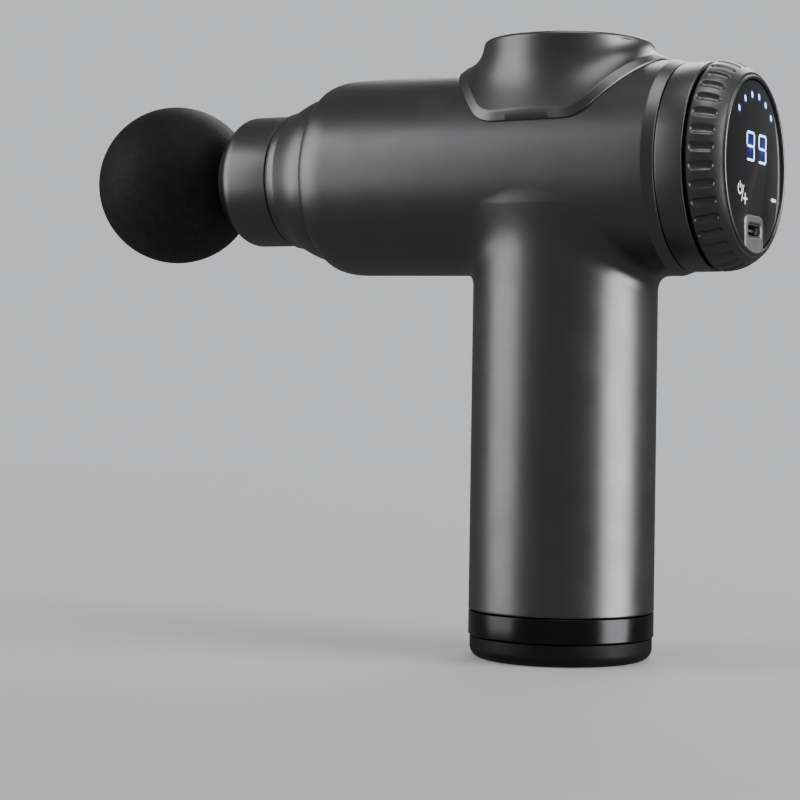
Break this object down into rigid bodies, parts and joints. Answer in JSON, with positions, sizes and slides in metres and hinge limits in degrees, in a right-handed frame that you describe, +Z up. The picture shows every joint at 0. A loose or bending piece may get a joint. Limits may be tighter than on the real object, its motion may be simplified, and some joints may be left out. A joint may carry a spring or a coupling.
{
  "type": "massage gun",
  "caption": "Percussion massage gun: round head on a crank-driven piston in a barrel, motor under a domed top cover, rear display ring with charging socket, upright cell-filled handle.",
  "frame": {"origin": "centre of the flat end of the handle, on the handle axis", "axes": "+Z up the handle; the barrel lies along X with the massage head towards -X and the display towards +X; +Y to the left seen from the display"},
  "size_m": [0.1963, 0.0548, 0.1605],
  "materials": {
    "shell_metal": "satin",
    "black_plastic": "matt",
    "ball_rubber": "fine grain, matt",
    "o_ring_rubber": "smooth",
    "bush_grey": "smooth",
    "cast_alloy": "as cast",
    "steel": "bright",
    "stator_copper": "enamelled wire",
    "bell_black": "satin",
    "lens_glass": "polished black",
    "circuit_green": "solder mask",
    "chip_black": "moulded",
    "led_white": "moulded lens",
    "pad_foam": "soft",
    "dark_chrome": "polished dark",
    "cell_wrap": "shrink sleeve",
    "holder_white": "moulded",
    "capacitor_can": "sleeved",
    "lead_red": "smooth",
    "lead_grey": "smooth",
    "lead_yellow": "smooth",
    "rod_alloy": "machined",
    "piston_nylon": "moulded"
  },
  "bodies": {
    "housing": {"main_housing": "shell_metal", "motor_cover": "shell_metal", "front_sleeve": "shell_metal", "nose_collar": "shell_metal", "guide_bush": "bush_grey", "mechanism_frame": "cast_alloy", "frame_screw_1": "steel", "frame_screw_2": "steel", "frame_screw_3": "steel", "frame_screw_4": "steel", "motor_stator": "stator_copper", "motor_bearing_lower": "steel", "motor_bearing_upper": "steel", "rear_trim_ring": "shell_metal", "rear_bezel": "shell_metal", "usb_socket": "steel", "display_lens": "lens_glass", "display_board": "circuit_green", "digit_module": "chip_black", "level_led_1": "led_white", "level_led_2": "led_white", "level_led_3": "led_white", "level_led_4": "led_white", "level_led_5": "led_white", "level_led_6": "led_white", "touch_pad_plus": "pad_foam", "touch_pad_minus": "pad_foam", "bezel_screw_1": "steel", "bezel_screw_2": "steel", "bezel_screw_3": "steel", "base_trim_ring": "dark_chrome", "base_cap": "black_plastic", "battery_cell_1": "cell_wrap", "battery_cell_2": "cell_wrap", "battery_cell_3": "cell_wrap", "battery_holder_bottom": "holder_white", "battery_holder_top": "holder_white", "protection_board": "circuit_green", "main_board": "circuit_green", "motor_driver_chip": "chip_black", "board_capacitor": "capacitor_can", "battery_lead": "lead_red", "display_lead": "lead_grey", "motor_lead": "lead_yellow"},
    "crank": {"motor_bell": "bell_black", "motor_shaft": "steel", "crank_disc": "steel"},
    "rod": {"connecting_rod": "rod_alloy", "crank_pin_bearing": "steel"},
    "piston": {"piston": "piston_nylon", "wrist_pin": "steel"},
    "massage_head": {"head_stem": "black_plastic", "stem_o_ring": "o_ring_rubber", "massage_ball": "ball_rubber"}
  },
  "joints": [
    {"name": "crank_turn", "type": "hinge", "parent": "housing", "child": "crank", "pos_m": [0, 0, 0.126], "axis": [0, 0, 1], "range_deg": [0, 180]},
    {"name": "rod_swing", "type": "hinge", "parent": "crank", "child": "rod", "pos_m": [0.005, 0, 0.126], "axis": [0, 0, 1], "range_deg": [-180, 0]},
    {"name": "piston_slide", "type": "slide", "parent": "housing", "child": "piston", "axis": [-1, 0, 0], "range_m": [0, 0.01]},
    {"name": "head_pull", "type": "slide", "parent": "piston", "child": "massage_head", "axis": [-1, 0, 0], "range_m": [0, 0.022]}
  ],
  "couplings": [
    {"joint": "rod_swing", "follows": "crank_turn", "ratio": -1},
    {"joint": "piston_slide", "follows": "crank_turn", "m_per_rad": 0.003183}
  ]
}
